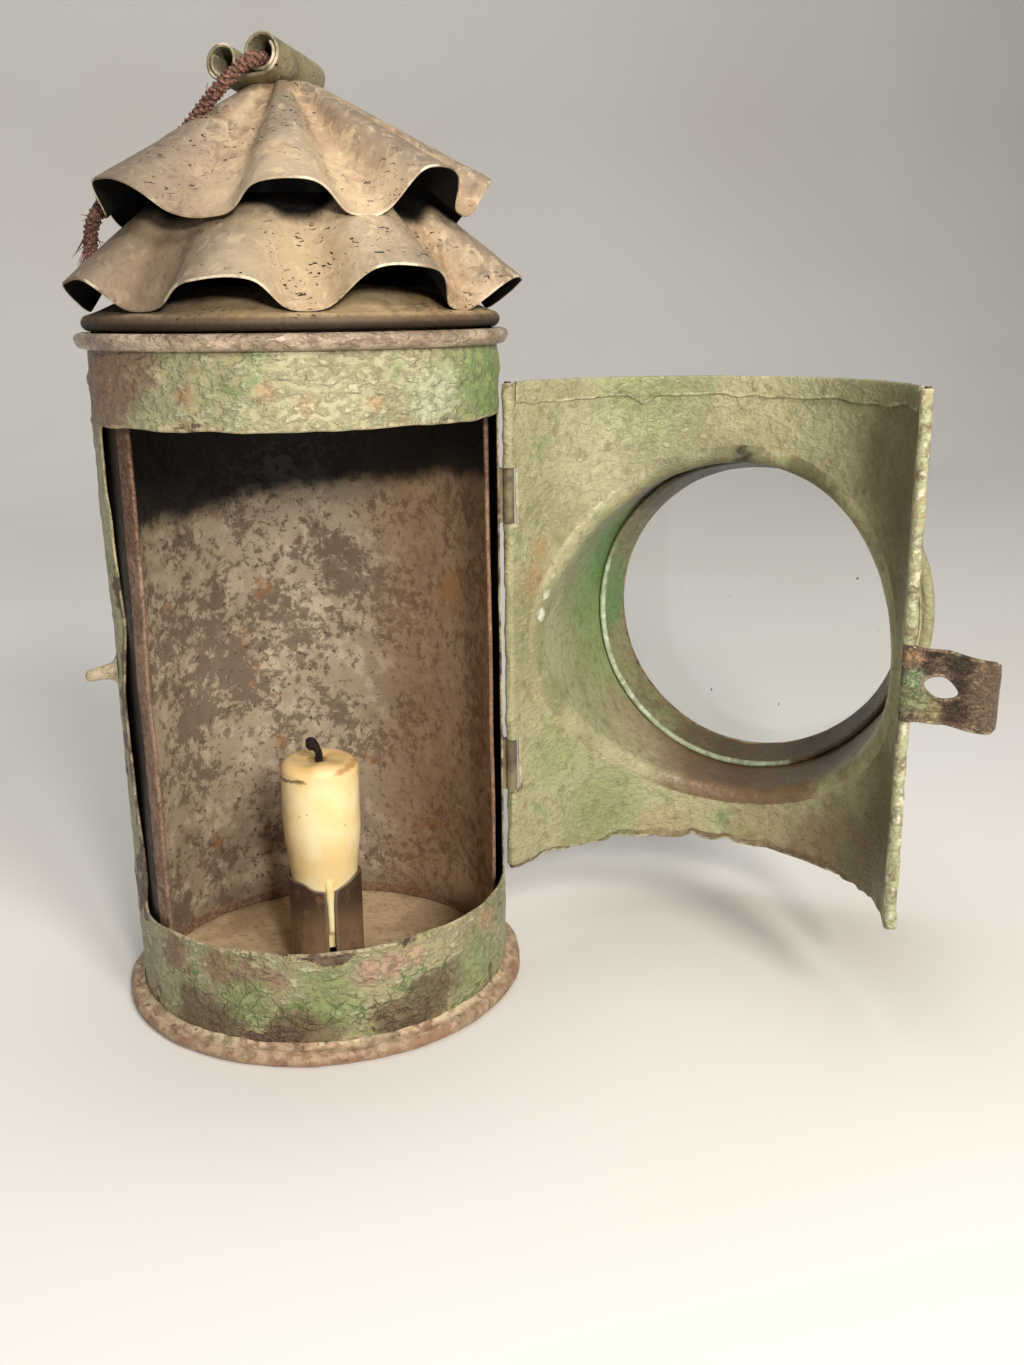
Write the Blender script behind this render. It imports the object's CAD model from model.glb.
import math

import bpy
import numpy as np
from mathutils import Matrix


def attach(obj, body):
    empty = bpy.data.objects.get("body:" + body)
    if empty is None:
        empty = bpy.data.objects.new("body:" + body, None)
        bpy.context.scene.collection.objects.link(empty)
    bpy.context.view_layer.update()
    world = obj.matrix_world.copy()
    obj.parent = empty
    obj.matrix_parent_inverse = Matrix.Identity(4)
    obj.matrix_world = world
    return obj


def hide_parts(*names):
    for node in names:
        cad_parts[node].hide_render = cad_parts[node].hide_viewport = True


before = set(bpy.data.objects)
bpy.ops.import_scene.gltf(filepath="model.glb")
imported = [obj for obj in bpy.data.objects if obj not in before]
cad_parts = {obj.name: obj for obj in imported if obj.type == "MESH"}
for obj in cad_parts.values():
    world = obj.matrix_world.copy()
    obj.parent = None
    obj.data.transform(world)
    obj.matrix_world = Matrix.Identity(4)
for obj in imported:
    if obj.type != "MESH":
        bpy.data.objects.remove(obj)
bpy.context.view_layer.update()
mm = 0.001
print("frame loaded")


# Working shapes.
def ramp(value, low, high):          # smooth step, 0 at low and 1 at high
    t = np.clip((value - low) / (high - low), 0, 1)
    return t * t * (3 - 2 * t)


def lumps(points, size, seed, octaves=1):   # random heights on a cubic lattice, joined by smooth steps
    side = 24
    table = np.random.default_rng(seed).uniform(-1, 1, (side, side, side))
    total = np.zeros(points.shape[:-1])
    for octave in range(octaves):
        place = points / size * 2 ** octave + 9.7 * octave
        cell = np.floor(place).astype(int)
        part = place - cell
        part = part * part * (3 - 2 * part)
        for corner in np.ndindex(2, 2, 2):
            weight = np.where(corner, part, 1 - part).prod(-1)
            i, j, k = np.moveaxis((cell + corner) % side, -1, 0)
            total += weight * table[i, j, k] / 2 ** octave
    return total


def around(radius, degrees, height):        # points at a radius and angle about the lantern's axis
    a = np.radians(degrees)
    return np.stack(np.broadcast_arrays(radius * np.cos(a), radius * np.sin(a), height), -1)


def polar(points):                   # radius, angle in degrees and height of points about that axis
    x, y, z = np.moveaxis(points, -1, 0)
    return np.hypot(x, y), np.degrees(np.arctan2(y, x)), z


def push(points, direction, amount):        # points moved along a direction, each by its own amount
    return points + direction * amount[:, None]


def arc(centre, radius, startDeg, endDeg, count):   # centre + radius * (cosine, sine) of even angles
    a = np.radians(np.linspace(startDeg, endDeg, count))
    return np.stack([centre[0] + radius * np.cos(a), centre[1] + radius * np.sin(a)], -1)


def line(start, end, count):         # even steps from start to end
    t = np.linspace(0, 1, count)[:, None]
    return np.asarray(start, float) * (1 - t) + np.asarray(end, float) * t


def spun(path, degrees):             # a radius-height path carried round the axis, angle first
    return around(path[None, :, 0], np.asarray(degrees)[:, None], path[None, :, 1])


def joinGrids(grids, weld=0.002):    # one set of faces, with points closer than the weld made one
    names = sorted({name for grid in grids for name in grid.get("marks", {})})
    points, quads, marks, start = [], [], {name: [] for name in names}, 0
    for grid in grids:
        block = grid["points"]
        count = block.shape[0] * block.shape[1]
        index = np.arange(start, start + count).reshape(block.shape[:2])
        cells = np.stack([index[:-1, :-1], index[1:, :-1], index[1:, 1:], index[:-1, 1:]], -1)
        quads.append(cells[grid["keep"]] if "keep" in grid else cells.reshape(-1, 4))
        points.append(block.reshape(-1, 3))
        for name in names:
            value = grid.get("marks", {}).get(name, 0.0)
            marks[name].append(np.broadcast_to(value, block.shape[:2]).ravel())
        start += count
    points, quads = np.concatenate(points), np.concatenate(quads)
    key = np.round(points / weld + 0.137).astype(np.int64)    # shifted, so round sizes don't split
    _, first, same = np.unique(key, axis=0, return_index=True, return_inverse=True)
    quads = same.reshape(-1)[quads]
    used, quads = np.unique(quads, return_inverse=True)
    quads, first = quads.reshape(-1, 4), first[used]
    for k in range(4):               # a quad with two corners in one place ends in them, as a triangle
        twin = quads[:, k] == quads[:, (k + 1) % 4]
        quads[twin] = np.roll(quads[twin], 2 - k, axis=1)
    flat = (quads[:, 0] == quads[:, 1]) | (quads[:, 1] == quads[:, 2]) | (quads[:, 0] == quads[:, 2])
    return points[first], quads[~flat], {n: np.concatenate(v)[first] for n, v in marks.items()}


def unit(vectors):                   # each vector over its own length
    return vectors / np.maximum(np.linalg.norm(vectors, axis=-1, keepdims=True), 1e-12)


def pointNormals(points, quads):     # the crossed diagonals of a point's faces, added up
    face = np.cross(points[quads[:, 2]] - points[quads[:, 0]], points[quads[:, 3]] - points[quads[:, 1]])
    normal = np.zeros_like(points)
    for k in range(4):
        np.add.at(normal, quads[:, k], face)
    return unit(normal)


def freeEdges(quads, count):         # edges that only one face has
    ends = np.concatenate([quads[:, [k, (k + 1) % 4]] for k in range(4)])
    ends = ends[ends[:, 0] != ends[:, 1]]
    code = ends[:, 0] * count + ends[:, 1]
    if len(np.unique(code)) < len(code):
        print("  faces turned against each other:", len(code) - len(np.unique(code)))
    return ends[~np.isin(ends[:, 1] * count + ends[:, 0], code)]


# distance of each point from the sheet's nearest free edge, up to a reach
def edgeGap(points, rim, reach=12.0, batch=1500):
    gap = np.full(len(points), reach)
    if len(rim):
        near = points[np.unique(rim)].astype(np.float32)
        for start in range(0, len(points), batch):
            part = points[start:start + batch].astype(np.float32)
            far = np.sqrt(((part[:, None] - near[None]) ** 2).sum(-1).min(1))
            gap[start:start + batch] = np.minimum(reach, far)
    return gap


def thicken(points, quads, half, relief=None):      # both faces of a sheet, with a rounded free edge
    count = len(points)
    normal = pointNormals(points, quads)
    rim = freeEdges(quads, count)
    out = np.cross(points[rim[:, 1]] - points[rim[:, 0]], normal[rim].mean(1))
    edgeOut = np.zeros_like(points)
    np.add.at(edgeOut, rim[:, 0], out)
    np.add.at(edgeOut, rim[:, 1], out)
    edge = np.unique(rim)
    crust = np.zeros((count, 2)) if relief is None else relief(points)
    solid = np.concatenate([points + normal * (half + crust[:, :1]), points - normal * (half + crust[:, 1:]),
                            points[edge] + unit(edgeOut[edge]) * half])
    middle = np.zeros(count, int)
    middle[edge] = 2 * count + np.arange(len(edge))
    a, b = rim.T
    lip = np.concatenate([np.stack([b, a, middle[a], middle[b]], 1),
                          np.stack([middle[b], middle[a], a + count, b + count], 1)])
    source = np.concatenate([np.arange(count), np.arange(count), edge])
    side = np.concatenate([np.ones(count), -np.ones(count), np.zeros(len(edge))])
    return solid, np.concatenate([quads, quads[:, [1, 0, 3, 2]] + count, lip]), source, side, rim


# a mesh in metres with its marks and paint, tied to its body, slot and the nodes it replaces
def addPiece(name, points, quads, marks, paint, body, nodes=(), sharpDeg=38):
    triangle = quads[:, 2] == quads[:, 3]
    mesh = bpy.data.meshes.new(name)
    mesh.from_pydata((points * mm).tolist(), [], quads[~triangle].tolist() + quads[triangle, :3].tolist())
    for mark, values in marks.items():
        mesh.attributes.new(mark, "FLOAT", "POINT").data.foreach_set("value", values.astype(np.float32))
    mesh.shade_smooth()
    mesh.set_sharp_from_angle(angle=math.radians(sharpDeg))
    mesh.materials.append(paint)
    piece = bpy.data.objects.new(name, mesh)
    bpy.context.scene.collection.objects.link(piece)
    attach(piece, body)
    if nodes:
        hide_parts(*nodes)
    print(f"  {name}: {2 * len(quads)} triangles at most")
    return piece


# a sheet: grids welded, bent by shape, given a gauge and relief, then put in place
def sheetPiece(name, grids, gauge, paint, body, nodes, shape=None, relief=None, place=None):
    points, quads, marks = joinGrids(grids)
    points = shape(points) if shape else points
    solid, faces, source, side, rim = thicken(points, quads, gauge / 2, relief)
    gap = edgeGap(points, rim)
    given = {name: values[source] for name, values in marks.items()}
    given.update(side=side, edge=gap[source])
    return addPiece(name, place(solid) if place else solid, faces, given, paint, body, nodes)


# a closed piece: its faces are turned round where they would hold a negative volume
def lumpPiece(name, grids, paint, body, nodes=(), shape=None, place=None):
    points, quads, marks = joinGrids(grids)
    points = shape(points) if shape else points
    freeEdges(quads, len(points))    # prints what is turned wrongly
    a, b, c, d = (points[quads[:, k]] for k in range(4))
    if (np.cross(c - a, d - b) * (a + b + c + d)).sum() < 0:
        quads = quads[:, [1, 0, 3, 2]]
    points = place(points) if place else points
    return addPiece(name, points, quads, marks, paint, body, nodes, sharpDeg=60)


# Shader maths.
def tint(code):                      # a colour as it is seen, made linear
    seen = np.array([int(code[i:i + 2], 16) for i in (0, 2, 4)]) / 255
    return (*np.where(seen < 0.04045, seen / 12.92, ((seen + 0.055) / 1.055) ** 2.4).tolist(), 1.0)


class Tap:                           # one value in a material: maths on it adds nodes
    def __init__(self, paint, socket):
        self.paint, self.socket = paint, socket

    def maths(self, operation, *values):
        return self.paint.node("Math", {"operation": operation}, dict(enumerate(values)))

    def __add__(self, other):
        return self.maths("ADD", self, other)

    def __sub__(self, other):
        return self.maths("SUBTRACT", self, other)

    def __rsub__(self, other):
        return self.maths("SUBTRACT", other, self)

    def __mul__(self, other):
        return self.maths("MULTIPLY", self, other)

    __radd__, __rmul__ = __add__, __mul__


class Paint:                         # one material and the nodes in it
    def __init__(self, name):
        self.material = bpy.data.materials.new(name)
        self.material.use_nodes = True
        self.tree = self.material.node_tree
        self.tree.nodes.clear()
        self.place = self.node("TexCoord", out="Object")

    def node(self, kind, settings=None, inputs=None, out=0):     # taps are linked, other values set
        node = self.tree.nodes.new("ShaderNode" + kind)
        for key, value in (settings or {}).items():
            setattr(node, key, value)
        for key, value in (inputs or {}).items():
            if isinstance(value, Tap):
                self.tree.links.new(value.socket, node.inputs[key])
            else:
                node.inputs[key].default_value = value
        return Tap(self, node.outputs[out]) if len(node.outputs) else None

    def moved(self, seed, stretch=(1, 1, 1)):    # places shifted by a seeded amount, then stretched
        shift = np.random.default_rng(seed).uniform(-5, 5, 3).tolist()
        return self.node("Mapping", {}, {"Vector": self.place, "Location": shift, "Scale": stretch})

    def grain(self, size, seed, detail=3.0, rough=0.55, stretch=(1, 1, 1), bend=0.0):   # size in mm
        return self.node("TexNoise", {}, {"Vector": self.moved(seed, stretch), "Scale": 1000 / size,
                                          "Detail": detail, "Roughness": rough, "Distortion": bend})

    def cracks(self, size, seed, bend=0.25, bendSize=1.0):   # distance from the edges of crackle cells
        wobble = self.node("TexNoise", {}, {"Vector": self.place, "Scale": 1000 / size * bendSize}, "Color")
        offset = self.node("VectorMath", {"operation": "SCALE"}, {0: wobble, "Scale": bend * size * mm})
        spot = self.node("VectorMath", {"operation": "ADD"}, {0: self.moved(seed), 1: offset})
        return self.node("TexVoronoi", {"feature": "DISTANCE_TO_EDGE"},
                         {"Vector": spot, "Scale": 1000 / size})

    def cells(self, size, seed):     # one random number for each cell
        colour = self.node("TexVoronoi", {}, {"Vector": self.moved(seed), "Scale": 1000 / size}, "Color")
        return self.node("SeparateXYZ", {}, {0: colour}, 0)

    def ease(self, value, low, high):    # smooth step, 0 at low and 1 at high
        return self.node("MapRange", {"interpolation_type": "SMOOTHSTEP"},
                         {"Value": value, "From Min": low, "From Max": high})

    def mix(self, mask, below, above):   # below where the mask is 0, above where it is 1
        return self.node("Mix", {"data_type": "RGBA"}, {0: mask, 6: below, 7: above}, 2)

    def blend(self, value, low, high, codeA, codeB):     # from one tone to another as a value goes up
        return self.mix(self.ease(value, low, high), tint(codeA), tint(codeB))

    def layers(self, colour, rows):  # each row's tone laid on where its value has gone from low to high
        for value, low, high, share, code in rows:
            colour = self.mix(self.ease(value, low, high) * share, colour, tint(code))
        return colour

    def mark(self, name):            # a value kept on the mesh's points
        return self.node("Attribute", {"attribute_name": name}, out="Fac")

    def axis(self, which):           # object coordinate in mm
        return self.node("SeparateXYZ", {}, {0: self.place}, which) * 1000

    def spot(self, at, reach, soft, seed, rough=0.5):   # a ragged patch round a point, sizes in mm
        far = self.node("VectorMath", {"operation": "DISTANCE"}, {0: self.place, 1: [v * mm for v in at]},
                        "Value")
        ragged = (self.grain(reach * 0.9, seed, 9.0, 0.72) - 0.5) * (4.6 * reach * rough)
        return self.ease(far * 1000 + ragged, reach + soft, reach - soft)

    def finish(self, colour, rough, metal=0.0, height=None, depth=0.2, **fixed):   # depth in mm
        inputs = {"Base Color": colour, "Roughness": rough, "Metallic": metal, **fixed}
        if height is not None:
            inputs["Normal"] = self.node("Bump", {}, {"Strength": 1.0, "Distance": depth * mm,
                                                      "Height": height})
        shader = self.node("BsdfPrincipled", {}, inputs)
        self.node("OutputMaterial", {}, {"Surface": shader})
        return self.material


# Old paint: tones, saturated patches, crackle, crust, chips down to the metal, worn edges and placed patches.
def oldPaint(name, look):
    paint = Paint(name)
    edge, side, z = paint.mark("edge"), paint.mark("side"), paint.axis(2)
    broad = paint.grain(look["broad"], 1, 5.0, 0.62)
    fine = paint.grain(2.6, 2, 6.0, 0.66)
    pits = paint.grain(0.9, 3, 3.0, 0.6)
    crust = paint.ease(paint.grain(look["crustSize"], 11, 5.0, 0.62, (1, 1, 1.7)), 0.44, 0.64)
    light, middle, dark = (tint(code) for code in look["tones"])
    colour = paint.mix(paint.ease(broad, 0.38, 0.62), middle, light)
    colour = paint.mix(paint.ease(fine, 0.48, 0.7) * 0.7, colour, dark)
    for low, high, code, share in look.get("washes", ()):
        colour = paint.mix(paint.ease(z, low, high) * share, colour, tint(code))
    bright = paint.ease(paint.grain(look["brightSize"], 4, 7.0, 0.68), look["brightFrom"],
                        look["brightFrom"] + 0.1)
    colour = paint.mix(bright * 0.7, colour, tint(look["bright"]))
    colour = paint.mix(crust * look["crustShare"], colour, tint(look["crustTone"]))
    crackle = paint.cracks(look["crackSize"], 5, 0.7, 2.2)
    shown = paint.ease(paint.grain(15, 6, 4.0), look["crackFrom"], look["crackFrom"] + 0.12)
    shown = shown * paint.ease(z, *look["crackBand"])
    crack = (1 - paint.ease(crackle, 0.012, 0.06)) * shown
    dirt = paint.ease(paint.grain(10, 7, 4.0), 0.46, 0.56)
    colour = paint.mix(crack * 0.8, colour, paint.mix(dirt, tint(look["crack"]), tint(look["crackDirt"])))
    raw = paint.grain(look["chipSize"], 8, 9.0, 0.68, bend=0.2)
    worn = raw + paint.ease(edge, look["edgeReach"], 0.0) * look["edgeChip"]
    for low, high, gain in look.get("chipBands", ()):
        worn = worn + paint.ease(z, low, high) * gain
    chip = paint.ease(worn, look["chipFrom"], look["chipFrom"] + 0.02)
    halo = paint.ease(worn, look["chipFrom"] - 0.035, look["chipFrom"] - 0.008)
    bareA, bareB = (tint(code) for code in look["bare"])
    bare = paint.mix(paint.ease(fine, 0.4, 0.64), bareA, bareB)
    colour = paint.mix(halo * 0.6, colour, tint(look["halo"]))
    colour = paint.mix(chip, colour, bare)
    rust = paint.ease(paint.grain(5.5, 9, 6.0, 0.66), 0.62, 0.7)
    colour = paint.mix(rust * look["rustShare"], colour, tint(look["rust"]))
    # patches may keep to one face, such as the drum's bore
    onFace = paint.ease(side, -0.2, 0.6) if look.get("innerOnly") else 1.0
    for index, (at, reach, soft, code, share) in enumerate(look.get("patches", ())):
        patch = paint.spot(at, reach, soft, 20 + index) * (onFace * share)
        tone = paint.mix(paint.ease(fine, 0.42, 0.66) * 0.45, tint(code), bareB)
        colour = paint.mix(patch, colour, tone)
    speck = paint.ease(paint.grain(0.8, 10, 2.0), 0.68, 0.75)
    colour = paint.mix(speck * look["speckShare"], colour, tint(look["speck"]))
    patchy = paint.ease(paint.grain(6, 13, 4.0), 0.42, 0.6)
    rubbed = paint.ease(edge + (fine - 0.5) * 1.8, 0.7, 0.2) * patchy
    colour = paint.mix(rubbed * look["rubbedShare"], colour, tint(look["rubbed"]))
    rough = look["rough"] + (fine - 0.5) * 0.4 - crust * 0.08 + chip * 0.05
    if "inside" in look:             # the other face of the sheet
        insideA, insideB = (tint(code) for code in look["inside"])
        back = paint.ease(side, -0.5, -0.9)
        for low, high in look.get("outerOnly", ()):
            back = back * (1 - paint.ease(z, low, high))
        colour = paint.mix(back, colour, paint.mix(paint.ease(broad, 0.4, 0.6), insideA, insideB))
    for low, high, codeA, codeB in look.get("beads", ()):
        band = paint.ease(z + (fine - 0.5) * 2.2, low, high)
        streak = paint.grain(9.0, 12, 5.0, 0.6, (1, 1, 2.5))
        beadColour = paint.blend(streak, 0.4, 0.66, codeA, codeB)
        colour = paint.mix(band * look["beadShare"], colour, beadColour)
        rough = rough - band * 0.14
    if "roll" in look:               # knobbly paint on a rolled edge
        roll = paint.ease(paint.mark("roll") + (fine - 0.5) * 0.8, 0.3, 0.6)
        crumbs, bits = paint.grain(4.4, 14, 6.0, 0.64), paint.grain(2.2, 15, 5.0, 0.62)
        tones = [tint(code) for code in look["roll"]]
        tone = paint.mix(paint.ease(crumbs, 0.38, 0.54), tones[0], tones[1])
        tone = paint.mix(paint.ease(crumbs, 0.56, 0.66) * 0.6, tone, tones[2])
        tone = paint.mix(paint.ease(bits, 0.52, 0.64) * 0.85, tone, tones[3])
        colour = paint.mix(roll * 0.9, colour, tone)
        crust = crust + roll * crumbs * 2
    height = (1 - chip) * 0.5 + crust * look["crust"] + fine * 0.5 + pits * look["pits"] - crack * 0.45
    height = height + paint.ease(crackle, 0.0, 0.3) * shown * 0.25
    return paint.finish(colour, rough, look["metal"], height, look["depth"])


greenLook = dict(tones=("a8a37f", "8a8663", "6c6848"), broad=24, bright="5f8444", brightSize=15,
                 brightFrom=0.56, crackSize=5.0, crackFrom=0.46, crackBand=(40, 34), crack="55803a",
                 crackDirt="4b3f2c", chipSize=24, chipFrom=0.63, edgeReach=4.0, edgeChip=0.07,
                 bare=("645040", "463729"), halo="a8946c", rust="a06a42", rustShare=0.3, speck="2a231a",
                 speckShare=0.45, rubbed="bdae8b", rubbedShare=0.7, crustSize=3.2, crust=0.9,
                 crustTone="bdbb9a", crustShare=0.45, pits=0.3, depth=0.55, beadShare=0.92, rough=0.47,
                 metal=0.0)
# each patch: place, reach and softness in mm, tone and share
casePatches = (
    ((-47, -16, 163), 14, 6, "94735c", 0.95), ((-40, -30, 168), 8, 3, "917661", 0.75),
    ((38, -32, 163), 12, 6, "7c9a58", 0.6), ((46, -18, 160), 11, 5, "75944f", 0.6),
    ((26, -43, 159), 7, 4, "c3cba8", 0.6), ((-13, -48, 161.5), 2.2, 1.0, "b08a66", 0.6),
    ((-30, -40, 161), 2.0, 1.0, "a5785a", 0.6), ((-5, -50, 158.6), 2.6, 1.0, "b39a74", 0.6),
    ((10.6, -49, 158.6), 2.0, 0.9, "b08f68", 0.6), ((3, -50, 22.6), 3.6, 0.9, "b0907a", 0.85),
    ((9, -49, 23.4), 3.4, 0.9, "b0907a", 0.85), ((15, -48, 24), 3.0, 0.8, "b3957a", 0.8),
    ((38, -33, 23.5), 4.6, 0.9, "ab8f6c", 0.8), ((-42, -27, 23.5), 5.0, 1.0, "86694f", 0.85),
    ((-32, -38, 23.5), 4.6, 1.0, "86694f", 0.85), ((-26, -43, 22.6), 3.6, 0.9, "8d715a", 0.85),
    ((-20, -46, 22.2), 3.2, 0.9, "8d715a", 0.8), ((18, -46.5, 11), 7.4, 1.6, "64563f", 0.85),
    ((9, -49, 9), 6.0, 1.4, "64563f", 0.85), ((25, -43, 14), 5.0, 1.6, "685a42", 0.7),
    ((-38, -32.5, 9), 7.5, 1.6, "64533d", 0.85), ((-31, -39, 8), 6.0, 1.4, "64533d", 0.8),
    ((-16, -47, 8), 6.4, 1.4, "625139", 0.85), ((-9, -49, 8), 5.0, 1.4, "625139", 0.7),
    ((-25, -43, 15.5), 6, 3, "6c8c49", 0.5), ((-6, -50, 17), 7, 3, "6f8d4c", 0.45),
    ((35, -36, 12.5), 9, 4, "7b9556", 0.5))
caseLook = {**greenLook, "chipBands": ((17, 5, 0.09), (24, 28, 0.05), (146, 152, -0.1)),
            "washes": ((40, 33, "7c6a45", 0.35),), "inside": ("1d1712", "2f261e"),
            "outerOnly": ((166, 170),), "beads": ((169.3, 170.6, "8d7966", "c2ae98"),),
            "patches": casePatches}
print("paints ready")

# Case.
case = dict(radius=49.7, gauge=0.6, low=0.65, rimZ=172.0, rollAt=50.88, roll=1.58, leftDeg=193.5,
            rightDeg=-13.6, openLow=28.7, openHigh=153.4, corner=3.0, seam=0.6, dent=0.32, wavy=0.75)


# rings of points under, over and behind the opening, with round corners, and the rolled rim
def caseGrids():
    r, reach = case["radius"], case["corner"]
    leftDeg, rightDeg = case["leftDeg"], case["rightDeg"] + 360
    back = np.linspace(case["rightDeg"], leftDeg, 190)
    bend = np.degrees(reach * (1 - np.cos(np.linspace(0, math.pi / 2, 7))) / r)
    between = np.linspace(leftDeg + bend[-1], rightDeg - bend[-1], 170)[1:-1]
    front = np.concatenate([leftDeg + bend, between, rightDeg - bend[::-1]])
    gap = np.radians(np.minimum(front - leftDeg, rightDeg - front)) * r
    rise = reach - np.sqrt(np.maximum(reach ** 2 - np.maximum(reach - gap, 0) ** 2, 0))
    degrees = np.concatenate([back, front[1:]])
    rise = np.concatenate([np.full(len(back), reach), rise[1:]])[:, None]
    lower = case["low"] + (case["openLow"] + rise - case["low"]) * np.linspace(0, 1, 34)
    foot = case["openHigh"] - rise
    upper = foot + (case["rimZ"] - foot) * np.linspace(0, 1, 27)
    middle = np.linspace(case["openLow"] + reach, case["openHigh"] - reach, 56)
    curl = arc((case["rollAt"], case["rimZ"]), case["roll"], 180, -88, 15)
    curl[0, 0] = r
    return [dict(points=around(r, degrees[:, None], lower)), dict(points=around(r, degrees[:, None], upper)),
            dict(points=around(r, back[:, None], middle[None])), dict(points=spun(curl, degrees))]


def underDoor(points):               # 1 where the shut door lies over the case
    _, angle, z = polar(points)
    return ramp(z, 24, 27) * ramp(z, 163, 160.5) * ramp(angle, -8, -11) * ramp(angle, -172, -169)


def caseShape(points):               # dents, a lap seam at the back, wavy sides to the opening
    radius, angle, z = polar(points)
    wall = ramp(z, 170.5, 166) * ramp(z, 1, 8)
    inward = ramp(z, 167, 171.5) * ramp(z, 172.4, 171.9) * (case["rollAt"] - case["roll"] - case["radius"])
    step = ramp(np.abs(angle - 90), 4.6, 3.4) * case["seam"] * wall
    dent = case["dent"] * (lumps(points, 26, 11) - 0.35) + 0.14 * lumps(points, 7, 12)
    leftEdge = np.exp(-((angle + 166.5) / 7) ** 2) * ramp(z, 24, 40) * ramp(z, 156, 140)
    dent = dent - leftEdge * (0.5 + 0.9 * lumps(points * [0, 0, 1], 21, 13))
    dent = dent - underDoor(points) * np.maximum(dent + 0.05, 0)
    bead = 0.22 * lumps(points, 9, 14) * (1 - wall) * ramp(z, 165, 171)
    slide = leftEdge * case["wavy"] * lumps(points * [0, 0, 1], 17, 15, 2)
    rightEdge = np.exp(-((angle + 13.6) / 5) ** 2) * ramp(z, 24, 40) * ramp(z, 156, 140)
    slide = slide + rightEdge * 0.35 * lumps(points * [0, 0, 1], 19, 16)
    ragged = np.exp(-((z - case["openLow"]) / 4) ** 2) + np.exp(-((z - case["openHigh"]) / 4) ** 2)
    ragged = ragged * 0.32 * lumps(around(50, angle, 0), 9, 17, 2) * (angle < -20)
    return around(radius + dent * wall + inward + step + bead, angle + np.degrees(slide / 50), z + ragged)


def caseRelief(points):              # crusted paint stands on the outer face, thickest above the opening
    z = points[:, 2]
    low = points * [1, 1, 1.7]
    crust = np.maximum(lumps(low, 3.0, 18, 2) - 0.05, 0) * (0.26 + 0.42 * ramp(z, 150, 156))
    crust = crust + np.maximum(lumps(points, 9, 19, 2), 0) * 0.2
    crust = crust * (1 - 0.75 * underDoor(points))
    return np.stack([crust * ramp(z, 169, 166) * ramp(z, 2, 5), np.zeros(len(points))], -1)


sheetPiece("caseSheet", caseGrids(), case["gauge"], oldPaint("caseGreen", caseLook), "case",
           ["outer_case"], caseShape, caseRelief)

# Base pan.
base = dict(gauge=0.6, low=0.3, foot=52.2, roll=1.58, rollZ=1.88)
turnDeg = np.linspace(0, 360, 361)


def footPaint():                     # rusty rim, pale crust above it, a lighter floor inside the wall
    paint = Paint("footRust")
    fine, broad = paint.grain(2.0, 1, 5.0, 0.65), paint.grain(14, 2, 4.0)
    flat = paint.node("VectorMath", {"operation": "MULTIPLY"}, {0: paint.place, 1: (1, 1, 0)})
    radius = paint.node("VectorMath", {"operation": "LENGTH"}, {0: flat}, "Value") * 1000
    crusted = paint.ease(paint.axis(2) + (fine - 0.5) * 2, 3.2, 4.2)
    colour = paint.blend(broad, 0.4, 0.6, "8d7a60", "8b6b53")
    colour = paint.layers(colour, ((fine, 0.5, 0.68, 0.8, "5d4937"),
                                   (paint.grain(3.4, 4, 7.0, 0.7), 0.46, 0.62, 0.7, "b59c7e"),
                                   (paint.grain(2.6, 8, 5.0), 0.42, 0.6, crusted * 0.7, "c9b697"),
                                   (paint.grain(8, 5, 4.0), 0.62, 0.68, 0.6, "7c7f55"),
                                   (paint.grain(3, 6, 4.0), 0.64, 0.7, 0.8, "3b2d22")))
    low = paint.ease(paint.axis(2) + (fine - 0.5), 1.5, 0.5) * paint.ease(radius, 51.5, 53)
    colour = paint.mix(low * 0.7, colour, tint("a98670"))
    floorTone = paint.blend(broad, 0.38, 0.64, "a88f70", "c4ac89")
    floorTone = paint.mix(paint.ease(fine, 0.5, 0.7) * 0.6, floorTone, tint("6e5944"))
    colour = paint.mix(paint.ease(radius, 49.7, 49.3), colour, floorTone)
    return paint.finish(colour, 0.66 + (fine - 0.5) * 0.3, 0.0, fine + paint.grain(0.8, 7) * 0.4, 0.3)


footRust = footPaint()


def baseShape(points):               # the rim wavers in, out and up, and stays above the floor
    radius, angle, z = polar(points)
    rimPart = ramp(radius, 50, 52)
    wave = 0.3 * lumps(points, 14, 21) + 0.16 * lumps(points, 4, 22)
    lift = rimPart * 0.2 * lumps(points, 11, 23) * ramp(z, 0.4, 2)
    return around(radius + rimPart * wave, angle, np.maximum(z + lift, base["low"]))


footPath = np.concatenate([line((0, base["low"]), (base["foot"], base["low"]), 32),
                           arc((base["foot"], base["rollZ"]), base["roll"], -90, 150, 16)[1:]])
panGrid = dict(points=spun(footPath, turnDeg))
sheetPiece("basePanSheet", [panGrid], base["gauge"], footRust, "case", ["base_pan"], baseShape)

# Foot crust: corners of its section, as radius and height.
fillet = dict(top=(50.1, 5.0), bow=(50.5, 3.5), lip=(52.9, 3.6), low=(50.1, 1.4))


def crustShape(points):              # a lumpy fillet of solder and old paint at the foot of the wall
    radius, angle, z = polar(points)
    outer = ramp(radius, 50.3, 51.2)
    lump = lumps(points, 3.0, 24, 2) * 0.6 + lumps(points, 12, 25) * 0.35
    return around(radius + outer * lump * 0.7, angle, z + lump * 0.6)


bow = np.linspace(0, 1, 9)[:, None]
crustCurve = (1 - bow) ** 2 * fillet["top"] + 2 * bow * (1 - bow) * fillet["bow"] + bow ** 2 * fillet["lip"]
crustPath = np.concatenate([crustCurve[::-1], line(fillet["top"], fillet["low"], 4)[1:],
                            line(fillet["low"], fillet["lip"], 4)[1:]])
lumpPiece("footCrust", [dict(points=spun(crustPath, turnDeg))], footRust, "case",
          shape=crustShape)

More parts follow.
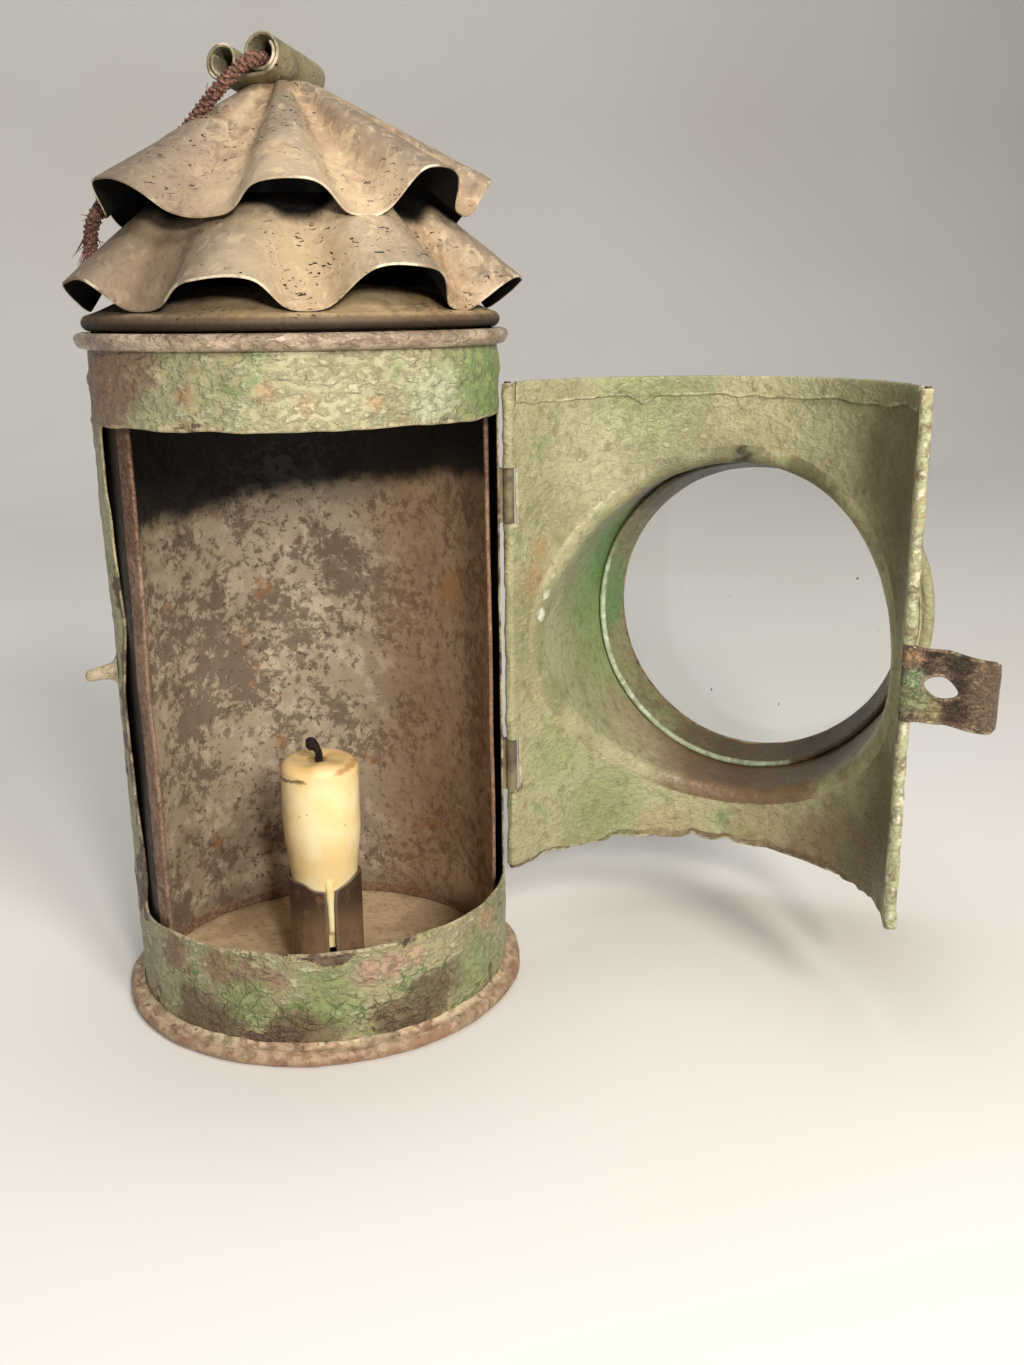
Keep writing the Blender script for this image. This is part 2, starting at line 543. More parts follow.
# Shutter.
liner = dict(radius=47.65, gauge=0.55, low=1.25, high=173.1, leftDeg=205.3, rightDeg=-15.0, hem=2.3,
             fold=0.32)


def linerPaint():                    # mottled tin, redder to the right, sooted above, rusty hems
    paint = Paint("tarnishedTin")
    x, z, side = paint.axis(0), paint.axis(2), paint.mark("side")
    mottle, broad = paint.grain(3.0, 1, 8.0, 0.76, bend=0.3), paint.grain(30, 2, 3.0)
    fine = paint.grain(1.1, 3, 4.0, 0.6)
    dark = paint.ease(mottle + (paint.grain(17, 5, 4.0) - 0.5) * 0.7, 0.48, 0.58)
    red = paint.ease(x + (broad - 0.5) * 26, 17, 34)
    redTone = paint.blend(mottle, 0.42, 0.62, "ab8a69", "84624a")
    colour = paint.blend(broad, 0.35, 0.65, "94846f", "aa9b85")
    colour = paint.mix(paint.ease(paint.grain(6, 4, 5.0), 0.48, 0.64) * 0.75, colour, tint("c0b29b"))
    colour = paint.mix(dark * 0.75, colour, tint("5a493b"))
    colour = paint.mix(paint.ease(paint.grain(1.7, 6, 3.0, 0.6), 0.63, 0.67) * 0.8, colour, tint("3f3228"))
    colour = paint.mix(red * 0.65, colour, redTone)
    colour = paint.mix(paint.ease(paint.grain(9, 8, 5.0), 0.64, 0.7) * 0.55, colour, tint("9a6a38"))
    colour = paint.mix(paint.spot((43, 20, 101), 5.0, 3.0, 9, 0.8) * 0.6, colour, tint("a9783c"))
    sooted = z - x * 0.14 + (paint.grain(15, 7, 6.0) - 0.5) * 10
    colour = paint.layers(colour, ((sooted, 125, 131, 0.96, "0d0a08"),
                                   (z + (mottle - 0.5) * 14, 12, 3, 0.5, "5a4836")))
    edgeTone = paint.blend(fine, 0.4, 0.62, "5f4030", "8d6c55")
    hem = paint.ease(paint.mark("edge"), 3.0, 2.4)
    colour = paint.mix(paint.ease(side, 0.2, 0.8) * (1 - hem), colour, tint("2c241d"))
    colour = paint.mix(hem * 0.75, colour, edgeTone)
    rough = 0.5 + dark * 0.2 + (fine - 0.5) * 0.3
    return paint.finish(colour, rough, 0.22, mottle * 0.7 + fine * 0.5 - dark * 0.4, 0.14)


def linerGrids():                    # plan path: hem, fold, wall, fold, hem, carried up the height
    r, gap = liner["radius"], 2 * liner["fold"]
    lap = math.degrees(liner["hem"] / r)
    turn = np.linspace(0, math.pi, 7)
    left, right = liner["leftDeg"], liner["rightDeg"]
    fold = np.degrees(np.sin(turn) * liner["fold"] / r)
    inRadius = r - gap / 2 + np.cos(turn[::-1]) * gap / 2
    degrees = np.concatenate([np.linspace(right + lap, right + 0.4, 4), right + 0.4 - fold[1:],
                              np.linspace(right + 0.4, left - 0.4, 170)[1:], left - 0.4 + fold[1:],
                              np.linspace(left - 0.4, left - lap, 4)[1:]])
    radii = np.concatenate([np.full(4, r - gap), inRadius[1:], np.full(169, r), inRadius[::-1][1:],
                            np.full(3, r - gap)])
    heights = np.linspace(liner["low"], liner["high"], 90)
    return [dict(points=around(radii[:, None], degrees[:, None], heights[None]))]


def linerShape(points):              # long hollows, with the two hemmed edges drawn in and wavering
    radius, angle, z = polar(points)
    angle = angle % 360
    dent = 0.35 * lumps(points * [0.6, 0.6, 1], 24, 31) - 0.1
    ends = np.exp(-((angle - 205) / 6) ** 2) + np.exp(-((angle - 345) / 6) ** 2)
    up = points * [0, 0, 1]
    return around(radius + dent - ends * 0.35 * (1 + lumps(up, 26, 32)),
                  angle + ends * np.degrees(1.4 / 48) * lumps(up, 30, 33, 2), z + 0.2 * lumps(points, 15, 34))


sheetPiece("shutterSheet", linerGrids(), liner["gauge"], linerPaint(), "top", ["shutter"],
           linerShape)
print("case done")

# Door.
door = dict(radius=51.2, gauge=0.56, halfDeg=77.9, low=27.6, high=159.8, hemLow=155.3, pin=52.38, roll=1.18,
            inset=2.0, turn=141.0, hinge=(51.2163, -10.9798), windowZ=91.0, hole=46.7, under=1.9,
            half=66, notchHinge=((50.6, 65.4), (124.1, 138.9)), notchHasp=((81.85, 101.15),))


# the door's pieces are worked out shut, then turned about the hinge wire
def swung(points):
    a = math.radians(door["turn"])
    x, y = points[..., 0] - door["hinge"][0], points[..., 1] - door["hinge"][1]
    return np.stack([door["hinge"][0] + math.cos(a) * x - math.sin(a) * y,
                     door["hinge"][1] + math.sin(a) * x + math.cos(a) * y, points[..., 2]], -1)


def bowed(width, z):                 # a flat place on the sheet, bent to the door's radius
    return around(door["radius"], -90 + np.degrees(width / door["radius"]), z)


def windowEdge(a, out):              # the window's outline on the flat sheet, moved outwards along it
    lean = np.sqrt(1 - (door["hole"] * np.cos(a) / door["radius"]) ** 2)
    edge = np.stack([door["radius"] * np.arcsin(door["hole"] * np.cos(a) / door["radius"]),
                     door["windowZ"] + door["hole"] * np.sin(a)], -1)
    return edge + out * unit(np.stack([np.cos(a), np.sin(a) / lean], -1))


# rings from the window out to the sheet's sides, then the rolled sides and the folded hem
def doorGrids():
    reach = door["radius"] * math.radians(door["halfDeg"])
    inner = reach - door["inset"]
    stops = [door["low"], *(z for notch in door["notchHinge"] + door["notchHasp"] for z in notch),
             door["high"]]
    heights = np.concatenate([np.linspace(a, b, max(2, round((b - a) / 2.4)))[:-1]
                              for a, b in zip(sorted(stops), sorted(stops)[1:])] + [[door["high"]]])
    widths = np.linspace(-inner, inner, 74)
    walk = np.concatenate([np.stack([widths, np.full(74, door["low"])], -1)[:-1],
                           np.stack([np.full(len(heights), inner), heights], -1)[:-1],
                           np.stack([widths[::-1], np.full(74, door["high"])], -1)[:-1],
                           np.stack([np.full(len(heights), -inner), heights[::-1]], -1)])
    theta = np.arctan2((walk[:, 1] - door["windowZ"]) / door["half"], walk[:, 0] / inner)
    hole = windowEdge(theta, door["under"])
    t = np.linspace(0, 1, 18)[:, None, None]
    flat = hole * (1 - t) + walk * t
    grids = [dict(points=bowed(flat[..., 0], flat[..., 1]))]
    curlA = np.radians(np.linspace(180, -30, 13))
    for sign, notches in ((1, door["notchHinge"]), (-1, door["notchHasp"])):
        edgeDeg = -90 + sign * door["halfDeg"]
        across = np.linspace(inner, reach, 3) / door["radius"]
        radial = door["pin"] + door["roll"] * np.cos(curlA)
        aside = door["roll"] * np.sin(curlA)
        degrees = np.concatenate([-90 + sign * np.degrees(across),
                                  edgeDeg + sign * np.degrees(aside[1:] / radial[1:])])
        radii = np.concatenate([np.full(3, door["radius"]), radial[1:]])
        bounds = sorted([door["low"], door["high"], *(z for notch in notches for z in notch)])
        for a, b in zip(bounds[::2], bounds[1::2]):
            rows = heights[(heights > a - 0.01) & (heights < b + 0.01)]
            block = around(radii[:, None], degrees[:, None], rows[None])
            grids.append(dict(points=block if sign > 0 else block[::-1],
                              marks=dict(roll=np.full(block.shape[:2], 0.2 if sign > 0 else 1.0))))
    fold = arc((door["radius"] - 0.36, door["high"]), 0.36, 0, 180, 6)
    hem = np.concatenate([fold, line(fold[-1], (fold[-1, 0], door["hemLow"]), 4)[1:]])
    grids.append(dict(points=spun(hem, -90 + np.degrees(widths / door["radius"]))))
    return grids


def awayFromWindow(points):          # 0 at the window's rim, 1 well clear of it
    return ramp(np.hypot(points[:, 0], points[:, 2] - door["windowZ"]), 52, 60)


def doorShape(points):               # gentle dents, a ragged foot, a sagging hem
    radius, angle, z = polar(points)
    rim = around(51, angle, 0)
    ragged = np.maximum(lumps(rim, 5, 41, 3) + 0.25, 0) * 1.8 * ramp(z, 36, door["low"])
    hemEdge = ramp(radius, 50.7, 50.5) * ramp(z, 158, 156)
    sag = hemEdge * (0.9 * lumps(rim, 8, 42, 2) - 2.1 * np.exp(-((angle + 60) / 2.6) ** 2))
    dent = (0.3 * lumps(points, 22, 43) + 0.1 * lumps(points, 6, 44)) * awayFromWindow(points)
    flare = 0.6 * ramp(z, 144, 153) * ramp(np.abs(angle + 90), 77.9, 76)
    curl = ramp(radius, 51.6, 52.3)
    return around(radius + flare + dent * (1 - 0.6 * hemEdge) + curl * 0.34 * lumps(points, 2.6, 45, 2),
                  angle + curl * np.degrees(0.34 / 52) * lumps(points, 3.2, 46, 2), z + ragged + sag)


def doorRelief(points):              # crust on both faces, thickest inside along the foot
    z = points[:, 2]
    crust = np.maximum(lumps(points, 2.6, 47, 2), 0) * 0.2
    foot = np.maximum(lumps(points, 2.4, 48, 2) + 0.3, 0) * 0.8 * ramp(z, 33, 29) * ramp(z, 28.9, 30)
    return np.stack([crust, crust * 0.6 * awayFromWindow(points) + foot], -1)


def onDoor(degrees, z):              # a place on the shut door's sheet, carried open
    return swung(around(door["radius"], degrees, z)).tolist()


doorPatches = [(onDoor(*at), *rest) for at, *rest in (
    ((-158, 140), 19, 12, "6a573d", 0.75), ((-163, 118), 15, 9, "634f36", 0.8),
    ((-162, 60), 15, 9, "604c34", 0.75), ((-160, 42), 16, 10, "604c34", 0.8),
    ((-138, 36), 14, 8, "6f5b40", 0.7), ((-120, 33), 9, 5, "7d6447", 0.6),
    ((-22, 108), 4.5, 3.5, "a5784a", 0.5), ((-24, 116), 3, 1.5, "a77f52", 0.5),
    ((-60, 152), 12, 6, "8d9a63", 0.5), ((-50, 40), 13, 7, "7f8f55", 0.5),
    ((-30, 58), 8, 4, "8a9960", 0.5), ((-95, 150), 10, 6, "bab38c", 0.5),
    ((-42, 142), 13, 8, "bbb493", 0.45), ((-33, 75), 12, 6, "aea67c", 0.4),
    ((-100, 33), 8, 4, "b09a76", 0.5), ((-70, 31), 7, 3, "a8926e", 0.6))]
doorLook = {**greenLook, "tones": ("a5a17c", "898662", "6c6848"), "brightFrom": 0.58, "crackBand": (0, -1),
            "chipFrom": 0.68, "crustSize": 2.2, "crust": 0.6, "crustTone": "b8b28e", "crustShare": 0.4,
            "pits": 0.8, "depth": 0.36, "rough": 0.43, "halo": "9d9068", "edgeReach": 3.0, "edgeChip": 0.12,
            "bare": ("77664d", "584937"), "rubbed": "c9c2a2", "rustShare": 0.45, "speckShare": 0.4,
            "roll": ("7a6c51", "a9ab83", "a8835f", "dcd6c0"), "chipBands": ((33, 28, 0.11),),
            "patches": doorPatches}
doorGreen = oldPaint("doorGreen", doorLook)
sheetPiece("doorSheet", doorGrids(), door["gauge"], doorGreen, "door", ["door_panel"],
           doorShape, doorRelief, swung)

# Window.
window = dict(bore=46.4, gauge=0.6, reach=82.0, glassFace=80.0, pane=46.1, lip=4.6, fillet=2.6)
ring = dict(gauge=0.5, near=68.9, edge=45.35, roll=0.5, wall=44.6, wallNear=1.4, bore=42.1, far=79.6)
bezel = dict(gauge=0.55, wall=47.4, near=75.0, rollAt=48.93, roll=1.55, far=80.77, face=82.35, bore=42.6)


def onWindow(radius, degrees, depth):       # points about the window's axis, which runs out along -Y
    a = np.radians(degrees)
    x, z = radius * np.cos(a), door["windowZ"] + radius * np.sin(a)
    return np.stack(np.broadcast_arrays(x, -depth, z), -1)


def windowSpun(path, degrees):       # a radius-depth path carried round the window's axis
    return onWindow(path[None, :, 0], np.asarray(degrees)[:, None], path[None, :, 1])


def onCollar(degrees, depth):        # a place in the drum, carried open with the door
    return swung(onWindow(window["bore"], degrees, depth)).tolist()


collarPatches = [(onCollar(*at), *rest) for at, *rest in (
    ((35, 52), 14, 7, "6d8a4a", 0.7), ((12, 48), 13, 7, "7a9452", 0.65),
    ((-14, 48), 13, 7, "8b955f", 0.5), ((64, 53), 11, 4, "5c5c3b", 0.7),
    ((90, 55), 11, 4, "565537", 0.7), ((116, 53), 11, 4, "565337", 0.7), ((8, 62), 13, 6, "6f9a50", 0.7),
    ((25, 66), 12, 5, "4b8a3f", 0.75), ((-15, 62), 12, 6, "86a05f", 0.55),
    ((58, 66), 13, 5, "23291a", 0.9), ((85, 68), 16, 3, "0c0e08", 0.95),
    ((112, 68), 15, 3, "14150d", 0.9), ((-80, 60), 18, 8, "73533d", 0.85),
    ((-112, 58), 18, 8, "70503a", 0.85), ((-50, 62), 14, 7, "a08a6a", 0.5),
    ((-140, 54), 17, 7, "6a5039", 0.7), ((9, 20.6), 1.7, 0.5, "e4e6d2", 0.9),
    ((16, 22), 1.4, 0.4, "e0e2cc", 0.9), ((22, 24), 1.1, 0.4, "dfe2cc", 0.85))]
collarLook = {**doorLook, "innerOnly": True, "broad": 18, "brightFrom": 0.6, "bright": "648a4c",
              "depth": 0.24, "rubbed": "b3946c", "rubbedShare": 0.4, "edgeChip": 0.0, "chipFrom": 0.7,
              "crustShare": 0.25, "rough": 0.38, "chipBands": (), "patches": collarPatches}
ringPatches = [(onCollar(*at), *rest) for at, *rest in (
    ((180, 74), 22, 8, "6b573f", 0.6), ((-90, 74), 22, 8, "5f4631", 0.75),
    ((-125, 74), 20, 8, "5f4631", 0.75), ((5, 72), 12, 5, "4f8a48", 0.6),
    ((90, 74), 24, 8, "1f2116", 0.8), ((60, 74), 16, 6, "2a2c1d", 0.7))]
ringLook = {**collarLook, "innerOnly": False, "tones": ("85805a", "6d6748", "544c36"), "rubbed": "b5835a",
            "rubbedShare": 0.9, "roll": ("8d9a7a", "b4c0a2", "7f8c68", "dbe3d2"), "patches": ringPatches}


def collarGrids():                   # a lip that comes out of the door's inner face and bends into the drum
    a = np.radians(np.linspace(0, 360, 289))

    def onFace(out, proud):
        flat = windowEdge(a, out)
        return around(door["radius"] - door["gauge"] / 2 - proud,
                      -90 + np.degrees(flat[:, 0] / door["radius"]), flat[:, 1])

    spread = np.linspace(window["lip"], window["fillet"], 8)
    proud = -0.25 + 0.42 * ramp(spread, window["lip"], window["lip"] - 1.6)
    lip = np.stack([onFace(*step) for step in zip(spread, proud)])
    corner = onFace(0, proud[-1])
    inner = onWindow(door["hole"], np.degrees(a), window["fillet"] - corner[:, 1])
    t = np.linspace(0, 1, 9)[1:, None, None]
    bend = (1 - t) ** 2 * lip[-1] + 2 * t * (1 - t) * corner + t ** 2 * inner
    t = np.linspace(0, 1, 26)[1:, None, None]
    drum = inner + (onWindow(door["hole"], np.degrees(a), window["reach"]) - inner) * t
    return [dict(points=np.concatenate([lip, bend, drum]))]


def windowShape(size, amount, seed):        # out-of-round and small dents, square to the window's axis
    def shape(points):
        out = unit((points - [0, 0, door["windowZ"]]) * [1, 0, 1])
        return push(points, out, amount * lumps(points, size, seed) + 0.08 * lumps(points, 5, seed + 1))
    return shape


sheetPiece("collarSheet", collarGrids(), window["gauge"], oldPaint("collarGreen", collarLook), "door",
           ["window_collar"], windowShape(24, 0.22, 51), place=swung)
ringLip = arc((ring["edge"], ring["near"] + ring["roll"]), ring["roll"], 200, 380, 7)[::-1]
ringPath = np.concatenate([ringLip, line((ring["wall"], ring["near"] + ring["wallNear"]),
                                         (ring["bore"] + ring["gauge"] / 2, ring["far"]), 9)])
ringDeg = np.linspace(0, 360, 241)
onLip = np.arange(len(ringPath)) < len(ringLip)
nearEdge = ramp(np.cos(np.radians(ringDeg + 45)), 0.2, 0.8)[:, None] * onLip
sheetPiece("retainingRingSheet", [dict(points=windowSpun(ringPath, ringDeg), marks=dict(roll=nearEdge))],
           ring["gauge"], oldPaint("ringGreen", ringLook), "door", ["glass_retaining_ring"],
           windowShape(18, 0.12, 53), place=swung)
bezelPath = np.concatenate([line((bezel["wall"], bezel["near"]), (bezel["wall"], bezel["far"]), 5),
                            arc((bezel["rollAt"], bezel["far"]), bezel["roll"], 180, -150, 18)[1:]])
bezelLip = line((bezel["wall"], bezel["face"]), (bezel["bore"], bezel["face"]), 4)
bezelGrids = [dict(points=windowSpun(path, ringDeg)) for path in (bezelPath, bezelLip)]
sheetPiece("bezelSheet", bezelGrids, bezel["gauge"], doorGreen, "door", ["window_bezel"],
           windowShape(16, 0.2, 55), place=swung)


def glassGrids():                    # front, rim and back of the pane, spun about the window's axis
    radii = np.linspace(0, window["pane"], 26)
    rim = window["pane"]
    far, near = window["reach"], window["glassFace"]
    back = np.stack([radii[::-1], np.full(26, near)], -1)
    front = np.stack([radii, np.full(26, far)], -1)
    side = np.array([[rim + 0.1, near + 0.3], [rim + 0.1, far - 0.3]])
    return [dict(points=windowSpun(np.concatenate([front, side[::-1], back]), ringDeg))]


def glassShape(points):              # slight waves in the old pane
    return push(points, [0, 1, 0], 0.05 * lumps(points, 18, 57))


def glassPaint():                    # clear glass, dulled by dust and a few dark specks
    paint = Paint("windowGlass")
    dust = paint.ease(paint.grain(30, 1, 5.0, 0.6), 0.5, 0.8)
    speck = paint.ease(paint.grain(2.2, 2, 2.0), 0.77, 0.8)
    colour = paint.mix(speck, tint("f4f6f4"), tint("3c352c"))
    return paint.finish(colour, 0.02 + dust * 0.1, 0.0, IOR=1.45, **{"Transmission Weight": 1.0})


lumpPiece("windowPane", glassGrids(), glassPaint(), "door", ["window_glass"], glassShape,
          swung)
print("door done")

# Hasp.
hasp = dict(at=around(52.38, -167.9, 91.5), outDeg=-167.9, high=9.25, flat=15.6, mid=-1.18, knuckle=1.18,
            curl=6.0, curlDeg=66, hole=(7.7, 8.4, 5.8), root=1.7, gauge=0.6)


def haspPlace(points):               # strap length, thickness and height, set on the door's edge wire
    out, aside = around(1, hasp["outDeg"], 0), around(1, hasp["outDeg"] + 90, 0)
    return swung(hasp["at"] + points[:, :1] * out + points[:, 1:2] * aside + points[:, 2:] * [0, 0, 1])


def haspGrids():                     # a plate round its hole, the curled end and the loop on the wire
    high, mid = hasp["high"], hasp["mid"]
    tall = np.linspace(-high, high, 25)
    long = np.linspace(hasp["root"], hasp["flat"], 17)
    walk = np.concatenate([np.stack([long, np.full(17, -high)], -1)[:-1],
                           np.stack([np.full(25, hasp["flat"]), tall], -1)[:-1],
                           np.stack([long[::-1], np.full(17, high)], -1)[:-1],
                           np.stack([np.full(25, hasp["root"]), tall[::-1]], -1)])
    at, length, height = hasp["hole"]
    angle = np.arctan2(walk[:, 1] / high, (walk[:, 0] - at) / 5.5)
    holeLong, holeTall = length / 2 * np.cos(angle), height / 2 * np.sin(angle)
    hole = np.stack([at + holeLong, holeTall * (0.55 + 0.45 * np.abs(np.sin(angle))) - 0.12 * holeLong], -1)
    t = np.linspace(0, 1, 9)[:, None, None]
    flat = hole * (1 - t) + walk * t
    plate = np.stack([flat[..., 0], np.full(flat.shape[:2], mid), flat[..., 1]], -1)
    curl = arc((hasp["flat"], mid + hasp["curl"]), hasp["curl"], -90, -90 + hasp["curlDeg"], 17)
    wrap = np.concatenate([arc((0, 0), hasp["knuckle"], -360, -90, 17),
                           line((0, mid), (hasp["root"], mid), 4)[1:]])
    grids = [dict(points=plate)]
    for path in (curl, wrap):
        grids.append(dict(points=np.stack(np.broadcast_arrays(path[:, :1], path[:, 1:], tall), -1)))
    return grids


def onHasp(length, height):           # a place on the strap, as it stands with the door open
    return haspPlace(np.array([[length, hasp["mid"], height]]))[0].tolist()


def haspShape(points):               # bent and wasted edges, the strap narrowing a little to its end
    x, z = points[:, 0], points[:, 2]
    free = ramp(x, 1.0, 3.0)
    wasted = 1 - free * (0.05 + 0.03 * lumps(points * [1, 1, 0], 7, 61)) * np.abs(z) / hasp["high"]
    sway = 0.25 * lumps(points, 8, 62) * free
    sway = sway - 0.5 * np.exp(-((x - 6) / 2.6) ** 2) - 1.5 * ramp(x, 8.5, 14.5)
    droop = free * (0.06 * x + 0.15 * np.maximum(x - 9, 0))
    along = x + 0.2 * free * lumps(points * [0, 0, 1], 6, 63) * ramp(x, 9, 16)
    return np.stack([along, points[:, 1] + sway, z * wasted * (1 - 0.09 * ramp(x, 19.5, 21)) - droop], -1)


haspPatches = [(onHasp(*at), *rest) for at, *rest in (
    ((2, -3), 4.5, 2, "8f9a6e", 0.75), ((2, 2), 2.6, 1.2, "8fa57c", 0.7),
    ((1.5, 6.5), 2.2, 1.0, "a58464", 0.7), ((6, -7), 3.0, 1.4, "a09468", 0.6),
    ((11.6, 6), 3.4, 1.2, "33271e", 0.8), ((12.2, 0), 3.2, 1.2, "33271e", 0.8),
    ((11.4, -6), 3.4, 1.2, "382b21", 0.8), ((4.5, 4), 2.2, 1.0, "3b2e24", 0.7))]
haspLook = {**greenLook, "tones": ("6f5b48", "544437", "3d3128"), "bright": "5c6442", "brightFrom": 0.64,
            "crackFrom": 0.7, "chipFrom": 0.58, "bare": ("53443a", "392d25"), "halo": "75644e",
            "rubbed": "b09b80", "rustShare": 0.5, "crustSize": 1.8, "crust": 1.1, "crustTone": "8d7b62",
            "pits": 0.6, "depth": 0.45, "rough": 0.28, "metal": 0.35, "patches": haspPatches}
sheetPiece("haspSheet", haspGrids(), hasp["gauge"], oldPaint("haspIron", haspLook), "hasp",
           ["hasp_strap"], haspShape, place=haspPlace)

# Latch stud.
stud = dict(deg=-176.28, foot=49.9, length=7.75, z=91.5, wide=1.6, tall=2.3, tip=0.55, droop=0.8)


def studGrids():                     # an ellipse that flares at the root and rounds off at the tip
    along = np.concatenate([np.linspace(0, 0.9, 12),
                            1 - 0.1 * (1 - np.sin(np.linspace(0, math.pi / 2, 7)))[1:]])
    size = 1 + (stud["tip"] - 1) * along + 0.75 * np.exp(-along * stud["length"] / 0.55)
    size = size * np.sqrt(np.clip(1 - np.maximum((along - 0.9) / 0.1, 0) ** 2, 0, 1))
    a = np.linspace(0, 2 * math.pi, 33)
    wide, tall = stud["wide"] * size * np.cos(a)[:, None], stud["tall"] * size * np.sin(a)[:, None]
    out, aside = around(1, stud["deg"], 0), around(1, stud["deg"] + 90, 0)
    points = (out * (stud["foot"] + along * stud["length"])[None, :, None] + aside * wide[..., None]
              + np.array([0, 0, 1]) * (stud["z"] + tall - stud["droop"] * along[None] ** 1.3)[..., None])
    return [dict(points=points, marks=dict(edge=np.full(points.shape[:2], 12.0)))]


def studShape(points):               # small lumps, sideways and up
    aside, up = 0.1 * lumps(points, 2, 64), 0.14 * lumps(points, 2.4, 65)
    return push(push(points, unit(points * [0, 1, 0]), aside), [0, 0, 1], up)


studLook = {**greenLook, "tones": ("b3a488", "97886a", "77694f"), "chipFrom": 0.6, "crackFrom": 0.8,
            "brightFrom": 0.6}
lumpPiece("latchStud", studGrids(), oldPaint("studPaint", studLook), "case", ["latch_stud"],
          studShape)
print("hasp and stud done")

# Roof and cowls.
roofLook = dict(sand="b7a286", khaki="937f69", grey="6c5e4f", rust="b08a62", pale="ccb896", soot="040303",
                crack="1c1510", rubbed="dccfb6")


# weathered tin: brushed tones, grey ridges, rusty valleys, cracks, rubbed edges and soot
def roofPaint(name, look, underside=True):
    paint = Paint(name)
    side, edge, fold = paint.mark("side"), paint.mark("edge"), paint.mark("fold")
    broad, fine = paint.grain(24, 1, 4.0, 0.6), paint.grain(2.4, 2, 6.0, 0.66)
    brush = paint.grain(5.5, 3, 5.0, 0.6, bend=0.8)
    colour = paint.blend(broad, 0.36, 0.62, look["khaki"], look["sand"])
    strokes = paint.grain(3.4, 14, 4.0, 0.6, (1, 1, 0.7), 1.2)
    colour = paint.layers(colour, ((brush, 0.5, 0.66, 0.75, look["grey"]),
                                   (fold + (broad - 0.5) * 2.4, 0.1, 0.9, 0.65, look["grey"]),
                                   (fold + (broad - 0.5) * 2.6, -0.1, -0.95, 0.35, look["rust"]),
                                   (paint.grain(9, 4, 5.0), 0.6, 0.7, 0.45, look["rust"]),
                                   (fine, 0.56, 0.7, 0.6, look["grey"]),
                                   (paint.grain(7, 9, 5.0), 0.62, 0.7, 0.4, "7e8057"),
                                   (strokes, 0.52, 0.68, 0.5, look["pale"]),
                                   (strokes, 0.46, 0.32, 0.35, look["grey"]),
                                   (paint.axis(0) + (broad - 0.5) * 26, -4, -32, 0.62, look["grey"])))
    colour = paint.mix(paint.spot((0, -46, 197), 22, 12, 16) * 0.4, colour, tint(look["pale"]))
    dash = paint.ease(paint.grain(2.3, 5, 2.0, 0.5, (1, 1, 2.4), 1.5), 0.655, 0.675)
    dash = dash * paint.ease(paint.grain(17, 6), 0.46, 0.54)
    colour = paint.mix(dash, colour, tint(look["crack"]))
    colour = paint.mix(paint.ease(paint.grain(0.9, 12, 2.0), 0.69, 0.75) * 0.5, colour, tint(look["crack"]))
    rubbed = paint.ease(edge + (fine - 0.5) * 1.2, 0.32, 0.08)
    rubbed = rubbed * paint.ease(paint.grain(7, 13, 4.0), 0.48, 0.62)
    colour = paint.mix(rubbed * 0.85, colour, tint(look["rubbed"]))
    if "bead" in look:               # a browner rolled edge, dirty in the groove below it
        low, high = look["bead"]
        colour = paint.layers(colour, ((paint.axis(2) + (fine - 0.5) * 1.2, high, low, 0.88, "4e3e30"),
                                       (paint.axis(2) + (fine - 0.5) * 0.8, low, low - 1.2, 0.85, "2b221a")))
    below = paint.ease(side, -0.4, -0.9)
    if "throat" in look:             # soot where the upper cowl covers the lower one
        at, reach = look["throat"]
        colour = paint.mix(paint.spot(at, reach, 1.5, 17, 0.02), colour, tint(look["soot"]))
    if underside:
        sooty = paint.blend(broad, 0.45, 0.7, look["soot"], "0e0a08")
        colour = paint.mix(below, colour, sooty)
    rough = 0.62 + (fine - 0.5) * 0.35 + below * 0.3
    height = brush * 1.1 + fine * 0.9 - dash * 1.2
    return paint.finish(colour, rough, rubbed * 0.35, height, 0.36, **{"Specular IOR Level": 0.3})


roofTin = roofPaint("weatheredRoof", roofLook)
lowerCowl = dict(gauge=0.6, apex=229.56, ridge=0.78, valley=1.041, fall=1.446, slant=69.9, ridgeDeg=-71.0,
                 bore=33.6, seed=71, ridgeTurn=(-1.5, -3.0, 1.0, -2.0, 2.5, 0.0, 1.8, 4.5),
                 valleyTurn=(3.0, 0.0, -1.5, 2.0, 1.0, -2.0, -4.5, -1.1),
                 ridgeLift=(2.6, 0.4, -0.6, 0.5, -0.4, 0.3, -0.9, -1.4),
                 valleyLift=(-0.3, 0.2, 0.0, 0.3, 0.0, 0.2, -0.4, 0.2),
                 ridgeReach=(0.5, 2.0, 0.0, 0.6, -0.5, 0.4, 0.4, 0.0))
upperCowl = dict(gauge=0.6, apex=233.82, ridge=0.596, valley=0.855, slant=55.3, ridgeDeg=-52.8, tip=4.2,
                 seed=81, ridgeTurn=(-2.3, 2.0, -2.0, 1.0, -1.5, 6.0, -13.2, 0.3),
                 valleyTurn=(-2.1, 1.5, 0.0, -2.0, 2.0, -3.6, -1.3, 1.6),
                 ridgeLift=(4.2, 4.0, -0.5, 0.4, -0.6, -1.2, 1.8, 0.4),
                 valleyLift=(3.4, 0.3, 0.0, -0.2, 0.4, 3.0, 0.6, 0.6),
                 ridgeReach=(0.6, -0.6, 0.3, 0.0, 0.4, -3.0, 0.0, 0.3))


